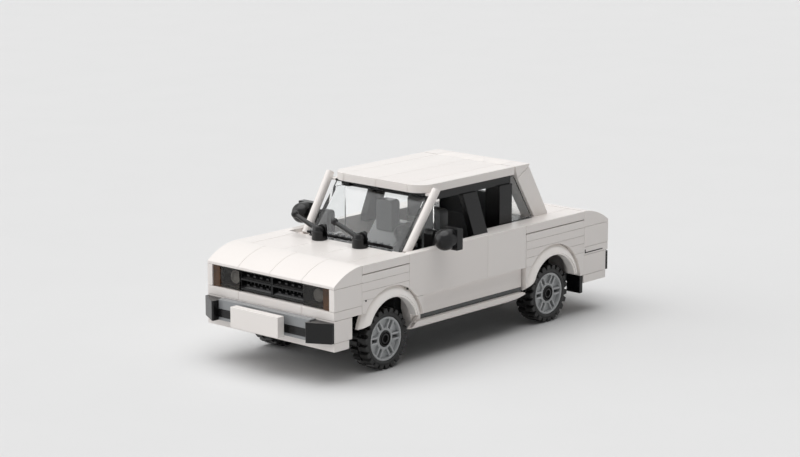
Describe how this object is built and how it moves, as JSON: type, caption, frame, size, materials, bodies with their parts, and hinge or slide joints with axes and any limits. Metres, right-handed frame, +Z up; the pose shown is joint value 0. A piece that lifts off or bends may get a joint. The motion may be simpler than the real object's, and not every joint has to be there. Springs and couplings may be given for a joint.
{
  "type": "brick-built toy sedan",
  "caption": "Brick-built toy sedan with a boxy three-box body, open side windows, a seated cabin, lever wipers and two free-rolling axles.",
  "frame": {"origin": "on the floor under the middle of the car, midway between the two number plates' faces", "axes": "+X forwards to the nose, +Y to the car's left, +Z up"},
  "size_m": [0.1736, 0.0804, 0.0629],
  "materials": {
    "white_plastic": "gloss",
    "black_plastic": "gloss",
    "dark_grey_plastic": "gloss",
    "light_grey_plastic": "gloss",
    "tyre_rubber": "matte",
    "clear_plastic": "gloss",
    "smoked_lamp": "gloss",
    "orange_lamp": "gloss",
    "red_lamp": "gloss",
    "tail_dark": "gloss"
  },
  "bodies": {
    "body": {"a_pillars": "white_plastic", "aprons": "white_plastic", "axle_blocks": "dark_grey_plastic", "belt_rails": "white_plastic", "boot_curves": "white_plastic", "boot_panels": "white_plastic", "bumper_bars": "light_grey_plastic", "bumper_corners": "black_plastic", "bumper_strips": "black_plastic", "chassis_plate": "dark_grey_plastic", "corner_posts": "white_plastic", "cowl": "black_plastic", "dashboard": "dark_grey_plastic", "door_ledges": "white_plastic", "door_mirrors": "black_plastic", "front_doors": "white_plastic", "front_fenders": "white_plastic", "front_inner_bricks": "black_plastic", "front_seats": "dark_grey_plastic", "grille": "black_plastic", "headlamps": "smoked_lamp", "hood_curves": "white_plastic", "hood_panels": "white_plastic", "indicators": "orange_lamp", "lower_panels": "white_plastic", "middle_pillars": "black_plastic", "mudflaps": "black_plastic", "nose_frame": "white_plastic", "number_plates": "white_plastic", "parcel_shelf": "dark_grey_plastic", "quarter_panes": "clear_plastic", "rear_bench": "dark_grey_plastic", "rear_doors": "white_plastic", "rear_inner_bricks": "black_plastic", "rear_quarters": "white_plastic", "rear_window": "clear_plastic", "roof_frame": "black_plastic", "roof_panels": "white_plastic", "sill_bars": "white_plastic", "sill_plates": "dark_grey_plastic", "steering_wheel": "black_plastic", "tail_frame": "white_plastic", "tail_lamps": "red_lamp", "tail_panel": "tail_dark", "valances": "white_plastic", "wheel_arches": "white_plastic", "window_columns": "black_plastic", "windscreen": "clear_plastic", "wiper_bases": "black_plastic", "wiper_levers": "black_plastic"},
    "front_wheelset": {"front_axle": "black_plastic", "front_left_rim": "light_grey_plastic", "front_right_rim": "light_grey_plastic", "front_left_tyre": "tyre_rubber", "front_right_tyre": "tyre_rubber"},
    "rear_wheelset": {"rear_axle": "black_plastic", "rear_left_rim": "light_grey_plastic", "rear_right_rim": "light_grey_plastic", "rear_left_tyre": "tyre_rubber", "rear_right_tyre": "tyre_rubber"}
  },
  "joints": [
    {"name": "front_wheelset_spin", "type": "hinge", "parent": "body", "child": "front_wheelset", "pos_m": [0.04845, 0, 0.0114], "axis": [0, 1, 0], "continuous": true},
    {"name": "rear_wheelset_spin", "type": "hinge", "parent": "body", "child": "rear_wheelset", "pos_m": [-0.04535, 0, 0.0114], "axis": [0, 1, 0], "continuous": true}
  ]
}
